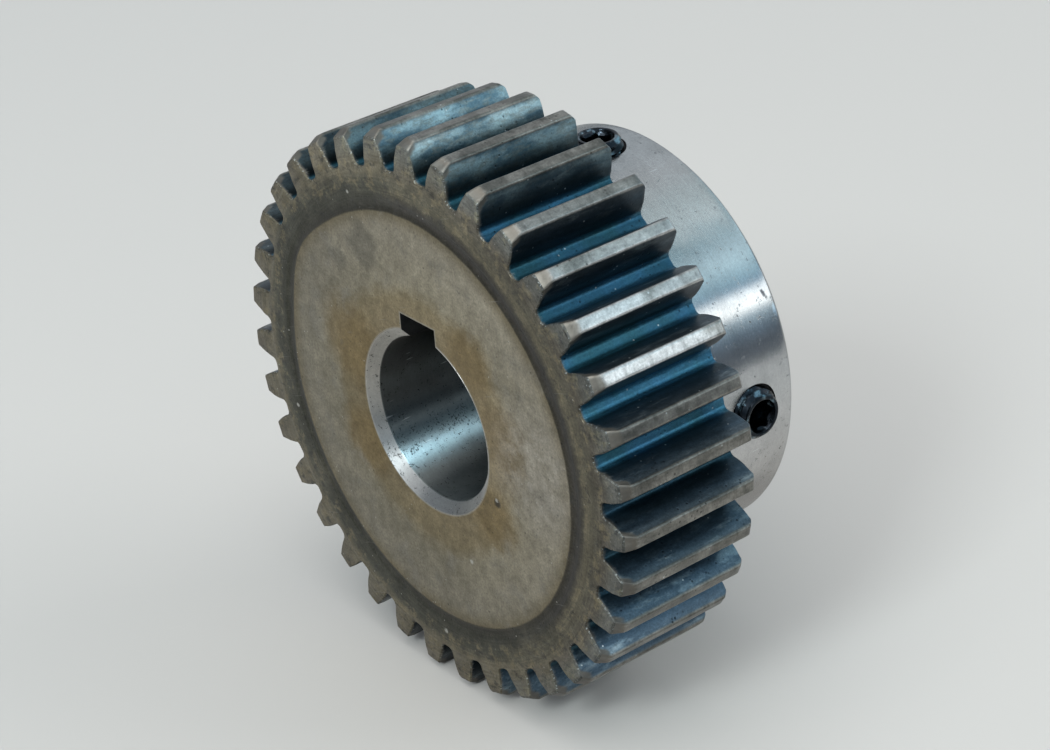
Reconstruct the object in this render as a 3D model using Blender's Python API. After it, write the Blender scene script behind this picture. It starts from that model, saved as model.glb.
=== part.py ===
"""Spur gear with a one-sided hub, made as one machined steel body, and its two hub set screws.

The bore runs along Y. The toothed rim's front face looks along -Y and the hub points along +Y.
The keyway is at the top of the bore, and one set screw stands over it. The origin is on the
bore's axis, halfway along the gear. Lengths are in metres.
"""

import math

import bmesh
import bpy
from mathutils import Matrix

MM = 0.001

# Teeth: a standard full-depth involute form.
TOOTH_COUNT = 35
MODULE = 1.5 * MM
PRESSURE_ANGLE = math.radians(20)
BACKLASH = 0.06 * MM
FILLET_RADIUS = 0.55 * MM
PITCH_RADIUS = MODULE * TOOTH_COUNT / 2
BASE_RADIUS = PITCH_RADIUS * math.cos(PRESSURE_ANGLE)
TIP_RADIUS = PITCH_RADIUS + MODULE
ROOT_RADIUS = PITCH_RADIUS - 1.25 * MODULE
FRONT_TIP_CHAMFER = (0.65 * MM, 1.1 * MM)
BACK_TIP_CHAMFER = (0.5 * MM, 0.5 * MM)

# Body: the toothed rim, the hub behind it, and the bore with its keyway.
FACE_WIDTH = 15 * MM
TOTAL_LENGTH = 27 * MM
HUB_RADIUS = 20 * MM
HUB_CHAMFER = 0.5 * MM
BORE_RADIUS = 8 * MM
BORE_CHAMFER = 1 * MM
KEYWAY_WIDTH = 5 * MM
KEYWAY_TOP = 10.3 * MM

# Set screws: M5 with a hexagon socket and a cup point, in holes across the hub.
SCREW_RADIUS = 2.25 * MM
SCREW_LENGTH = 8 * MM
SCREW_STANDS_PROUD = 1.1 * MM
SCREW_TOP_CHAMFER = 0.35 * MM
CUP_RADIUS = 1.25 * MM
CUP_DEPTH = 0.5 * MM
SOCKET_ACROSS_FLATS = 2.5 * MM
SOCKET_DEPTH = 3 * MM
HOLE_RADIUS = 2.45 * MM
HOLE_FROM_HUB_END = 5.1 * MM
HOLE_EDGE_BREAK = 0.2 * MM

FRONT_Y = -TOTAL_LENGTH / 2
RIM_BACK_Y = FRONT_Y + FACE_WIDTH
HUB_END_Y = TOTAL_LENGTH / 2
HOLE_Y = HUB_END_Y - HOLE_FROM_HUB_END
SCREW_CENTRE_RADIUS = HUB_RADIUS + SCREW_STANDS_PROUD - SCREW_LENGTH / 2

ROUND_SEGMENTS = 96
SMALL_SEGMENTS = 40
FILLET_STEPS = 3
FLANK_STEPS = 5
OVERRUN = 1 * MM
SMOOTH_ANGLE = math.radians(25)

# Turns a shape made along +Z so that it lies along +Y.
Z_TO_Y = Matrix.Rotation(math.radians(-90), 4, "X")


def clear_scene():
    """Remove every object, so the model starts from an empty scene."""
    for old in list(bpy.data.objects):
        bpy.data.objects.remove(old, do_unlink=True)


def metal(name, color, roughness):
    """A metal material of one colour and roughness."""
    material = bpy.data.materials.new(name)
    material.use_nodes = True
    shader = material.node_tree.nodes["Principled BSDF"]
    shader.inputs["Base Color"].default_value = (*color, 1)
    shader.inputs["Metallic"].default_value = 1
    shader.inputs["Roughness"].default_value = roughness
    return material


def add_object(name, mesh_maker, material=None):
    """Link a new mesh object whose bmesh is filled by mesh_maker."""
    mesh = bpy.data.meshes.new(name)
    working = bmesh.new()
    mesh_maker(working)
    bmesh.ops.recalc_face_normals(working, faces=working.faces)
    working.to_mesh(mesh)
    working.free()
    made = bpy.data.objects.new(name, mesh)
    bpy.context.scene.collection.objects.link(made)
    if material:
        mesh.materials.append(material)
    mesh.shade_smooth()
    mesh.set_sharp_from_angle(angle=SMOOTH_ANGLE)
    return made


def hide_as_tool(tool):
    """Mark an object as one that only shapes another."""
    tool.hide_render = True
    tool.display_type = "WIRE"


def combine(target, tool, operation):
    """Join a tool shape to the target, or cut it out, with an exact Boolean."""
    hide_as_tool(tool)
    modifier = target.modifiers.new(tool.name, "BOOLEAN")
    modifier.operation = operation
    modifier.solver = "EXACT"
    modifier.object = tool


def turned(working, outline, segments, matrix=Matrix.Identity(4)):
    """A closed turned solid about the matrix's Z from an outline of (radius, height) points."""
    rings = []
    for radius, height in outline:
        ring = []
        for step in range(segments):
            angle = 2 * math.pi * step / segments
            point = (radius * math.cos(angle), radius * math.sin(angle), height)
            ring.append(working.verts.new(point))
        rings.append(ring)
    for lower, upper in zip(rings, rings[1:]):
        join_rings(working, lower, upper)
    working.faces.new(reversed(rings[0]))
    working.faces.new(rings[-1])
    bmesh.ops.transform(working, matrix=matrix, verts=working.verts)


def join_rings(working, first, second):
    """Quads between two closed rings with the same number of vertices."""
    count = len(first)
    for index in range(count):
        following = (index + 1) % count
        working.faces.new((first[index], first[following], second[following], second[index]))


def involute(angle):
    return math.tan(angle) - angle


def half_tooth_angle(radius):
    """Half the angle that one tooth fills at a radius on its involute flank."""
    at_pitch = math.pi / (2 * TOOTH_COUNT) - BACKLASH / (2 * PITCH_RADIUS)
    roll = math.acos(min(1, BASE_RADIUS / radius))
    return at_pitch + involute(PRESSURE_ANGLE) - involute(roll)


def half_tooth_points(tip_radius):
    """(radius, angle from the tooth's centre line) from the tip's edge down to the root circle."""
    centre_radius = ROOT_RADIUS + FILLET_RADIUS
    tangent_radius = math.sqrt(centre_radius**2 - FILLET_RADIUS**2)
    points = []
    for step in range(FLANK_STEPS):
        share = step / FLANK_STEPS
        radius = tip_radius + (tangent_radius - tip_radius) * share
        points.append((radius, half_tooth_angle(radius)))
    centre_angle = half_tooth_angle(tangent_radius) + math.asin(FILLET_RADIUS / centre_radius)
    sweep = math.acos(FILLET_RADIUS / centre_radius)
    for step in range(FILLET_STEPS + 1):
        turn = sweep * (1 - step / FILLET_STEPS)
        along = centre_radius - FILLET_RADIUS * math.cos(turn)
        across = -FILLET_RADIUS * math.sin(turn)
        radius = math.hypot(along, across)
        points.append((radius, centre_angle + math.atan2(across, along)))
    return points


def toothed_ring(working, tip_radius, y):
    """One closed ring of vertices around all the teeth, with the tips cut at tip_radius."""
    half = half_tooth_points(tip_radius)
    ring = []
    for tooth in range(TOOTH_COUNT):
        centre = math.pi / 2 + 2 * math.pi * tooth / TOOTH_COUNT
        rising = [(radius, centre - angle) for radius, angle in reversed(half)]
        falling = [(radius, centre + angle) for radius, angle in half]
        for radius, angle in rising + falling:
            ring.append(working.verts.new((radius * math.cos(angle), y, radius * math.sin(angle))))
    return ring


def toothed_rim(working):
    """The rim as a solid disc with every tooth, its tips bevelled at both ends."""
    front_drop, front_depth = FRONT_TIP_CHAMFER
    back_drop, back_depth = BACK_TIP_CHAMFER
    stations = (
        (TIP_RADIUS - front_drop, FRONT_Y),
        (TIP_RADIUS, FRONT_Y + front_depth),
        (TIP_RADIUS, RIM_BACK_Y - back_depth),
        (TIP_RADIUS - back_drop, RIM_BACK_Y),
    )
    rings = [toothed_ring(working, tip_radius, y) for tip_radius, y in stations]
    for lower, upper in zip(rings, rings[1:]):
        join_rings(working, lower, upper)
    working.faces.new(reversed(rings[0]))
    working.faces.new(rings[-1])


def hub_blank(working):
    """The hub as a solid bar that starts inside the rim, with its end edge bevelled."""
    outline = (
        (HUB_RADIUS, RIM_BACK_Y - FACE_WIDTH / 2),
        (HUB_RADIUS, HUB_END_Y - HUB_CHAMFER),
        (HUB_RADIUS - HUB_CHAMFER, HUB_END_Y),
    )
    turned(working, outline, ROUND_SEGMENTS, Z_TO_Y)


def bore_tool(working):
    """The bore with a bevel at each mouth, as the solid to cut away."""
    flare = BORE_RADIUS + BORE_CHAMFER + OVERRUN
    outline = (
        (flare, FRONT_Y - OVERRUN),
        (BORE_RADIUS, FRONT_Y + BORE_CHAMFER),
        (BORE_RADIUS, HUB_END_Y - BORE_CHAMFER),
        (flare, HUB_END_Y + OVERRUN),
    )
    turned(working, outline, ROUND_SEGMENTS, Z_TO_Y)


def keyway_tool(working):
    """A bar along the bore whose top face is the keyway's floor."""
    bmesh.ops.create_cube(working, size=1)
    size = (KEYWAY_WIDTH, TOTAL_LENGTH + 2 * OVERRUN, KEYWAY_TOP)
    bmesh.ops.scale(working, vec=size, verts=working.verts)
    bmesh.ops.translate(working, vec=(0, 0, KEYWAY_TOP / 2), verts=working.verts)


def hole_tool(working):
    """A tapped hole's envelope, from inside the bore out past the hub, with its edge broken."""
    edge_radius = HOLE_RADIUS + HOLE_EDGE_BREAK
    outline = (
        (HOLE_RADIUS, BORE_RADIUS - 2 * OVERRUN),
        (HOLE_RADIUS, HUB_RADIUS - HOLE_EDGE_BREAK),
        (edge_radius + OVERRUN, HUB_RADIUS + OVERRUN),
    )
    turned(working, outline, SMALL_SEGMENTS)


def screw_body(working):
    """A set screw about its own centre, its cup point down and its driving end up."""
    low = -SCREW_LENGTH / 2
    high = SCREW_LENGTH / 2
    outline = (
        (CUP_RADIUS / 5, low + CUP_DEPTH),
        (CUP_RADIUS, low),
        (SCREW_RADIUS, low + SCREW_RADIUS - CUP_RADIUS),
        (SCREW_RADIUS, high - SCREW_TOP_CHAMFER),
        (SCREW_RADIUS - SCREW_TOP_CHAMFER, high),
    )
    turned(working, outline, SMALL_SEGMENTS)


def socket_tool(working):
    """The hexagon socket with a drill point at its bottom."""
    corner_radius = SOCKET_ACROSS_FLATS / math.sqrt(3)
    high = SCREW_LENGTH / 2
    floor = high - SOCKET_DEPTH
    outline = (
        (corner_radius / 10, floor - corner_radius / 2),
        (corner_radius, floor),
        (corner_radius, high + OVERRUN),
    )
    turned(working, outline, 6)


def make_gear_body(material):
    """The gear's single steel piece: rim and hub in one, bored, keyed and drilled."""
    body = add_object("gear_body", toothed_rim, material)
    combine(body, add_object("hub_blank", hub_blank), "UNION")
    combine(body, add_object("bore_tool", bore_tool), "DIFFERENCE")
    combine(body, add_object("keyway_tool", keyway_tool), "DIFFERENCE")
    for name, turn in (("keyway_hole_tool", 0), ("side_hole_tool", math.pi / 2)):
        hole = add_object(name, hole_tool)
        hole.location = (0, HOLE_Y, 0)
        hole.rotation_euler = (0, turn, 0)
        combine(body, hole, "DIFFERENCE")


def make_set_screw(name, turn, material):
    """One set screw, with its origin on the axis that it is driven along."""
    screw = add_object(name, screw_body, material)
    socket = add_object(name + "_socket_tool", socket_tool)
    combine(screw, socket, "DIFFERENCE")
    for piece in (screw, socket):
        piece.rotation_euler = (0, turn, 0)
        piece.location = (
            SCREW_CENTRE_RADIUS * math.sin(turn),
            HOLE_Y,
            SCREW_CENTRE_RADIUS * math.cos(turn),
        )


def main():
    clear_scene()
    steel = metal("oiled_steel", (0.36, 0.36, 0.34), 0.38)
    black_oxide = metal("black_oxide", (0.035, 0.038, 0.045), 0.42)
    make_gear_body(steel)
    make_set_screw("set_screw_over_keyway", 0, black_oxide)
    make_set_screw("set_screw_at_side", math.pi / 2, black_oxide)


main()
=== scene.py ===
import math

import bmesh
import bpy
import numpy as np
from mathutils import Matrix, Vector


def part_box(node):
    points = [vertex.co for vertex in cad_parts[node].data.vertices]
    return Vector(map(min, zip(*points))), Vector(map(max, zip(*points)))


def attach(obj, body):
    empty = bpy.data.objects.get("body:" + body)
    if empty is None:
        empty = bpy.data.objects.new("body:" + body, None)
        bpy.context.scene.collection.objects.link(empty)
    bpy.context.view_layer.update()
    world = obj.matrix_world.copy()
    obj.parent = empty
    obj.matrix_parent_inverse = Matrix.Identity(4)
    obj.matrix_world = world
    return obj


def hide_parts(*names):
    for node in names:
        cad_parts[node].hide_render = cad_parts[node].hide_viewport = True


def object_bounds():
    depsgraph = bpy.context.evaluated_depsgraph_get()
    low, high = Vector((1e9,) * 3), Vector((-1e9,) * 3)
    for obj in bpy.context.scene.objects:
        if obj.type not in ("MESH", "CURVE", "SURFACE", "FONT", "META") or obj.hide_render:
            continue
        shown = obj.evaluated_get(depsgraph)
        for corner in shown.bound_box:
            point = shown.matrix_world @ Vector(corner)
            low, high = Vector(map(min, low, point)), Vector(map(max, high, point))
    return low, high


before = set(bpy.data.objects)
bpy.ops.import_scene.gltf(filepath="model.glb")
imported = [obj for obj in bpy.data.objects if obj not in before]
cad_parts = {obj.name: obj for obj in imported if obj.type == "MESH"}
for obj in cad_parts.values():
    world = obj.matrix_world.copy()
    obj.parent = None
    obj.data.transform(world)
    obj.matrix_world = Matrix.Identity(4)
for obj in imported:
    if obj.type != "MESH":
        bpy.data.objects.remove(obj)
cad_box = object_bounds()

# Lengths below are in millimetres; meshes are made in millimetres and scaled to metres once.
MM = 0.001

# ---------------------------------------------------------------- sizes, the same as the CAD's
TEETH = 35
PITCH_RADIUS = 26.25
PRESSURE_ANGLE = math.radians(20)
BASE_RADIUS = PITCH_RADIUS * math.cos(PRESSURE_ANGLE)
TIP_RADIUS = 27.75
ROOT_RADIUS = 24.375
BACKLASH = 0.06
FILLET_RADIUS = 0.55
FRONT_Y = cad_box[0].y / MM
HUB_END_Y = cad_box[1].y / MM
RIM_BACK_Y = FRONT_Y + 15
HUB_RADIUS = 20.0
BORE_RADIUS = 8.0
KEYWAY_WIDTH = 5.0
KEYWAY_TOP = 10.3
screw_low, screw_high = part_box("set_screw_over_keyway")
SCREW_TOP = screw_high.z / MM
SCREW_END = screw_low.z / MM
HOLE_Y = (screw_low.y + screw_high.y) / 2 / MM
# Points round each turned ring, and where the rings start, in turns from +X: the middle of a gap.
SEGMENTS = 512
START_TURN = 0.25 - 0.5 / TEETH
# Edges that turn by more than this are sharp.
SHARP_ANGLE = math.radians(32)


# ---------------------------------------------------------------- small tools
def hashed(cells, seed):
    """A fixed pseudo-random value from -1 to 1 for each row of whole numbers."""
    mixed = cells[:, 0] * 374761393 + cells[:, 1] * 668265263 + cells[:, 2] * 2147483647
    mixed = (mixed + seed * 144665) & 0x7FFFFFFF
    mixed = ((mixed ^ (mixed >> 13)) * 1274126177) & 0x7FFFFFFF
    return ((mixed ^ (mixed >> 16)) & 0xFFFF) / 32767.5 - 1


def noise(points, size, seed=0):
    """Smooth noise from -1 to 1 at each row of points, with lumps about size wide."""
    scaled = np.asarray(points, float) / size
    cell = np.floor(scaled).astype(np.int64)
    part = scaled - cell
    part = part * part * (3 - 2 * part)
    total = np.zeros(len(scaled))
    for corner in np.ndindex(2, 2, 2):
        weight = np.prod(np.where(corner, part, 1 - part), axis=1)
        total += weight * hashed(cell + np.array(corner), seed)
    return total


class Shell:
    """Collects the points and faces of one mesh."""

    def __init__(self):
        self.points = []
        self.faces = []
        self.regions = []

    def ring(self, points):
        """Adds points and returns their indices."""
        start = len(self.points)
        self.points.extend(tuple(point) for point in points)
        return np.arange(start, len(self.points))

    def face(self, corners, region):
        """Adds one face, whose region says which material it gets."""
        self.faces.append(tuple(int(corner) for corner in corners))
        self.regions.append(region)

    def join(self, first, second, region):
        """Quads between two closed rings with the same number of points."""
        for a, b, c, d in zip(first, np.roll(first, -1), np.roll(second, -1), second):
            self.face((a, b, c, d), region)

    def bridge(self, first, second, region):
        """Triangles between two closed rings around Y with different numbers of points."""
        angles = [self.turns(first), self.turns(second)]
        at = [0, 0]
        rings = (first, second)
        while at[0] < len(first) or at[1] < len(second):
            ahead = [
                angles[side][at[side] + 1] if at[side] < len(rings[side]) else math.inf
                for side in (0, 1)
            ]
            side = 0 if ahead[0] <= ahead[1] else 1
            a = rings[side][at[side] % len(rings[side])]
            b = rings[side][(at[side] + 1) % len(rings[side])]
            c = rings[1 - side][at[1 - side] % len(rings[1 - side])]
            self.face((a, b, c) if side == 0 else (b, a, c), region)
            at[side] += 1

    def turns(self, ring):
        """How far round each point of a ring is, in turns from the first ring's start, growing."""
        angle = np.array([math.atan2(self.points[i][2], self.points[i][0]) for i in ring])
        turned = np.unwrap(np.append(angle, angle[0])) / (2 * math.pi)
        return turned - round(turned[0] - START_TURN)


def polar(radius, angle, y):
    """Points at a radius and angle around Y, as rows."""
    radius, angle, y = np.broadcast_arrays(radius, angle, y)
    return np.stack([radius * np.cos(angle), y, radius * np.sin(angle)], axis=1)


def add_to_scene(name, data):
    """A new object for a mesh, light or camera."""
    made = bpy.data.objects.new(name, data)
    bpy.context.scene.collection.objects.link(made)
    return made


def make_object(name, shell, materials):
    """A smooth mesh object in metres, with one material for each region."""
    mesh = bpy.data.meshes.new(name)
    mesh.from_pydata([Vector(point) * MM for point in shell.points], [], shell.faces)
    for material in materials:
        mesh.materials.append(material)
    mesh.polygons.foreach_set("material_index", shell.regions)
    mesh.update()
    tidy = bmesh.new()
    tidy.from_mesh(mesh)
    bmesh.ops.recalc_face_normals(tidy, faces=tidy.faces)
    tidy.to_mesh(mesh)
    tidy.free()
    mesh.shade_smooth()
    return add_to_scene(name, mesh)


# ---------------------------------------------------------------- the gear body
FACE, TEETH_REGION, HUB, BORE, CUT = range(5)
CORNER_RADIUS = 0.24
# The teeth's tip radius at the front face, inside the bevel.
BEVEL_RADIUS = 27.1
# The front disc's edge isn't quite round: it bulges out by this much round one angle.
BULGE = 0.9
BULGE_ANGLE = math.radians(147)
BULGE_WIDTH = math.radians(15)
# The tips' lands grow bright, partly worn steel and partly a painted highlight, over the first pair of
# angles and dull again over the second.
WORN_AND_HIGHLIGHT_FROM = (math.radians(19), math.radians(26))
WORN_AND_HIGHLIGHT_TO = (math.radians(28), math.radians(70))
FLANK_STEPS = 8
FILLET_STEPS = 5


def half_tooth_angle(radius):
    """Half the angle that one tooth fills at a radius on its involute flank."""
    roll = np.arccos(np.minimum(1, BASE_RADIUS / radius))
    at_pitch = math.pi / (2 * TEETH) - BACKLASH / (2 * PITCH_RADIUS)
    start = math.tan(PRESSURE_ANGLE) - PRESSURE_ANGLE
    return at_pitch + start - (np.tan(roll) - roll)


def half_tooth(tip_radius):
    """The radius and angle of each point from the tip's middle to the gap's middle."""
    centre_radius = ROOT_RADIUS + FILLET_RADIUS
    tangent_radius = math.sqrt(centre_radius**2 - FILLET_RADIUS**2)
    tip_angle = half_tooth_angle(tip_radius - CORNER_RADIUS)
    radii = [np.full(2, tip_radius)]
    angles = [np.array([0, 0.55]) * tip_angle]
    # The rounded corner between the tip's land and the flank.
    turn = np.radians([8, 35, 62])
    edge = tip_angle - CORNER_RADIUS / tip_radius
    radii.append(tip_radius - CORNER_RADIUS * (1 - np.cos(turn)))
    angles.append(edge + CORNER_RADIUS * np.sin(turn) / tip_radius)
    flank = np.linspace(tip_radius - CORNER_RADIUS, tangent_radius, FLANK_STEPS, endpoint=False)
    radii.append(flank)
    angles.append(half_tooth_angle(flank))
    # The fillet between the flank and the root.
    centre_angle = half_tooth_angle(tangent_radius) + math.asin(FILLET_RADIUS / centre_radius)
    sweep = math.acos(FILLET_RADIUS / centre_radius) * np.linspace(1, 0, FILLET_STEPS + 1)
    along = centre_radius - FILLET_RADIUS * np.cos(sweep)
    across = -FILLET_RADIUS * np.sin(sweep)
    radii.append(np.hypot(along, across))
    angles.append(centre_angle + np.arctan2(across, along))
    last = angles[-1][-1]
    gap = np.linspace(last, math.pi / TEETH, 3)[1:]
    radii.append(np.full(2, ROOT_RADIUS))
    angles.append(gap)
    return np.concatenate(radii), np.concatenate(angles)


HALF_COUNT = len(half_tooth(TIP_RADIUS)[0])
FILLET_END = HALF_COUNT - 3
PER_TOOTH = 2 * HALF_COUNT - 2


def toothed_outline(tip_radius):
    """x and z round all the teeth, and the direction out of the metal at each point."""
    radius, angle = half_tooth(tip_radius)
    order = np.concatenate([np.arange(HALF_COUNT - 1, -1, -1), np.arange(1, HALF_COUNT - 1)])
    sign = np.concatenate([-np.ones(HALF_COUNT), np.ones(HALF_COUNT - 2)])
    one_radius = radius[order]
    one_angle = angle[order] * sign
    centres = math.pi / 2 + 2 * math.pi * np.arange(TEETH) / TEETH
    all_radius = np.tile(one_radius, TEETH)
    all_angle = (centres[:, None] + one_angle[None, :]).ravel()
    flat = np.stack([all_radius * np.cos(all_angle), all_radius * np.sin(all_angle)], axis=1)
    along = np.roll(flat, -1, axis=0) - np.roll(flat, 1, axis=0)
    along /= np.linalg.norm(along, axis=1)[:, None]
    outward = np.stack([along[:, 1], -along[:, 0]], axis=1)
    return flat, outward


def tooth_station(shell, y, tip_radius, inset):
    """One ring of points round all the teeth at y, its edges worn back by inset."""
    flat, outward = toothed_outline(tip_radius)
    at = np.stack([flat[:, 0], np.full(len(flat), y), flat[:, 1]], axis=1)
    wear = inset * (1 + 0.7 * noise(at, 0.7, 3)) if inset else np.zeros(len(flat))
    relief = 0.012 * noise(at, 1.3, 1) - 0.012
    flat = flat - outward * (wear - relief)[:, None]
    return shell.ring(np.stack([flat[:, 0], at[:, 1], flat[:, 1]], axis=1))


def tooth_ends(shell, ring):
    """Fills each tooth's end face and returns the closed ring at the teeth's feet."""
    feet = []
    for tooth in range(TEETH):
        own = ring[tooth * PER_TOOTH:(tooth + 1) * PER_TOOTH]
        rising = own[:HALF_COUNT][::-1]
        next_start = ring[(tooth + 1) * PER_TOOTH % len(ring)]
        falling = np.concatenate([[own[HALF_COUNT - 1]], own[HALF_COUNT:], [next_start]])
        shell.face((rising[0], rising[1], falling[1]), FACE)
        for j in range(1, FILLET_END):
            shell.face((rising[j], rising[j + 1], falling[j + 1], falling[j]), FACE)
        feet.extend(rising[FILLET_END:][::-1])
        feet.extend(falling[FILLET_END:-1])
    return np.array(feet)


def turned_ring(shell, radius, y, bulge):
    """A ring of points; bulge is how much of the disc's bulge it follows."""
    angle = START_TURN * 2 * math.pi + 2 * math.pi * np.arange(SEGMENTS) / SEGMENTS
    off = (angle - BULGE_ANGLE) / BULGE_WIDTH
    return shell.ring(polar(radius + bulge * BULGE * np.exp(-off * off), angle, y))


# (radius, depth) from the teeth's feet over the groove and the disc, and then into the bore.
FACE_PROFILE = [
    (23.8, 0), (22.6, 0), (21.55, 0), (21.40, 0.02), (21.25, 0.09), (20.9, 0.11), (20.55, 0.10),
    (20.42, 0.05), (20.32, 0.01), (20.2, 0), (17.0, 0), (13.0, 0), (9.05, 0),
]
MOUTH_PROFILE = [(8.96, 0.02), (8.88, 0.07), (8.06, 0.85), (8.01, 0.91), (8.0, 1.0)]


def gear_blank():
    """The whole gear as one closed turned and toothed shell, before its keyway and holes."""
    shell = Shell()
    # Teeth, from the front face to the rim's back: (depth, tip radius, inset).
    stations = [
        (0.0, BEVEL_RADIUS, 0.15),
        (0.05, BEVEL_RADIUS + 0.03, 0.06),
        (0.15, BEVEL_RADIUS + 0.09, 0.0),
        (0.55, BEVEL_RADIUS + 0.325, 0.0),
        (0.95, TIP_RADIUS - 0.085, 0.0),
        (1.12, TIP_RADIUS - 0.025, 0.0),
        (1.35, TIP_RADIUS - 0.003, 0.0),
    ]
    stations += [(depth, TIP_RADIUS, 0.0) for depth in np.linspace(1.6, 14.2, 22)]
    stations += [
        (14.45, TIP_RADIUS - 0.02, 0.0),
        (14.6, TIP_RADIUS - 0.08, 0.0),
        (14.9, TIP_RADIUS - 0.40, 0.0),
        (14.97, TIP_RADIUS - 0.48, 0.04),
        (15.0, TIP_RADIUS - 0.50, 0.10),
    ]
    rings = [tooth_station(shell, FRONT_Y + depth, tip, inset) for depth, tip, inset in stations]
    for index, (lower, upper) in enumerate(zip(rings, rings[1:])):
        shell.join(lower, upper, FACE if index < 2 else TEETH_REGION)
    front_feet = tooth_ends(shell, rings[0])
    back_feet = tooth_ends(shell, rings[-1])
    # The front face, the bore and the hub, as (region, radius, y) from the teeth's feet and back.
    lathe = [(FACE, radius, FRONT_Y + depth) for radius, depth in FACE_PROFILE]
    lathe += [(BORE, radius, FRONT_Y + depth) for radius, depth in MOUTH_PROFILE]
    lathe += [(BORE, BORE_RADIUS, y) for y in np.linspace(FRONT_Y + 3, HUB_END_Y - 3, 9)]
    lathe += [
        (BORE, BORE_RADIUS, HUB_END_Y - 1.12),
        (BORE, 8.02, HUB_END_Y - 1.02),
        (BORE, 8.95, HUB_END_Y - 0.07),
        (BORE, 9.03, HUB_END_Y - 0.02),
        (HUB, 9.12, HUB_END_Y),
        (HUB, 14.0, HUB_END_Y),
        (HUB, 19.4, HUB_END_Y),
        (HUB, 19.52, HUB_END_Y - 0.03),
        (HUB, 19.95, HUB_END_Y - 0.46),
        (HUB, HUB_RADIUS, HUB_END_Y - 0.6),
    ]
    lathe += [(HUB, HUB_RADIUS, y) for y in np.linspace(HUB_END_Y - 1.2, RIM_BACK_Y + 0.9, 20)]
    lathe += [
        (HUB, 20.02, RIM_BACK_Y + 0.45),
        (HUB, 20.12, RIM_BACK_Y + 0.16),
        (HUB, 20.4, RIM_BACK_Y + 0.02),
        (HUB, 20.7, RIM_BACK_Y),
        (HUB, 23.8, RIM_BACK_Y),
    ]
    turned = []
    for _, radius, y in lathe:
        in_groove = 20.1 < radius < 21.6 and y < 0
        turned.append(turned_ring(shell, radius, y, float(in_groove)))
    shell.bridge(front_feet, turned[0], FACE)
    for (region, _, _), first, second in zip(lathe[1:], turned, turned[1:]):
        shell.join(first, second, region)
    shell.bridge(turned[-1], back_feet, HUB)
    return shell


def keyway_cutter():
    """A bar whose top is the keyway's floor."""
    half = KEYWAY_WIDTH / 2
    shell = Shell()
    low, high = FRONT_Y - 2, HUB_END_Y + 2
    corners = [(-half, 1), (half, 1), (half, KEYWAY_TOP), (-half, KEYWAY_TOP)]
    front = shell.ring([(x, low, z) for x, z in corners])
    back = shell.ring([(x, high, z) for x, z in corners])
    shell.join(front, back, CUT)
    shell.face(front[::-1], CUT)
    shell.face(back, CUT)
    return shell


# The threads' pitch, the radii of their crests, with room between them for the screw to slide, their
# depths, and how far from the bore's axis the hole's mouth starts to flare.
THREAD_PITCH = 0.8
SCREW_CREST = 2.39
HOLE_CREST = 2.46
SCREW_THREAD = 0.42
HOLE_THREAD = 0.32
MOUTH_START = 19.72


def thread_depth(angle, height, depth):
    """How deep a right-hand 60 degree thread is at each angle and height, from 0 to depth."""
    phase = (height / THREAD_PITCH - angle / (2 * math.pi)) % 1
    return np.clip(2.6 * (0.5 - np.abs(phase - 0.5)) - 0.15, 0, 1) * depth


def hole_cutter():
    """A tapped hole as a threaded rod along Z with its mouth flared, to cut away."""
    shell = Shell()
    count = 48
    angle = 2 * math.pi * np.arange(count) / count
    heights = np.concatenate([[5.0, 5.5], np.arange(6.0, 20.3, THREAD_PITCH / 10), [20.6, 21.5]])
    rings = []
    for height in heights:
        level = np.full(count, height)
        radius = HOLE_CREST + thread_depth(angle, level, HOLE_THREAD)
        radius = np.maximum(radius, HOLE_CREST + max(0.0, height - MOUTH_START) * 0.9)
        points = np.stack([radius * np.cos(angle), radius * np.sin(angle), level], axis=1)
        rings.append(shell.ring(points))
    for lower, upper in zip(rings, rings[1:]):
        shell.join(lower, upper, CUT)
    shell.face(rings[0][::-1], CUT)
    shell.face(rings[-1], CUT)
    return shell


def cut(target, cutter):
    """Cuts one solid out of another for good."""
    modifier = target.modifiers.new("cut", "BOOLEAN")
    modifier.operation = "DIFFERENCE"
    modifier.solver = "EXACT"
    modifier.object = cutter
    bpy.context.view_layer.update()
    depsgraph = bpy.context.evaluated_depsgraph_get()
    result = bpy.data.meshes.new_from_object(target.evaluated_get(depsgraph))
    target.modifiers.clear()
    target.data = result
    bpy.data.objects.remove(cutter)


def make_gear_body(materials):
    """The gear with its keyway and its two tapped holes cut."""
    body = make_object("gear_body_finished", gear_blank(), materials)
    cut(body, make_object("keyway_cutter", keyway_cutter(), materials))
    for turn in (0, math.pi / 2):
        cutter = make_object("hole_cutter", hole_cutter(), materials)
        cutter.data.transform(Matrix.Translation((0, HOLE_Y * MM, 0)) @ Matrix.Rotation(turn, 4, "Y"))
        cut(body, cutter)
    body.data.set_sharp_from_angle(angle=SHARP_ANGLE)
    return body


# ---------------------------------------------------------------- the set screws
SOCKET_HALF_WIDTH = 1.30


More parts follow.
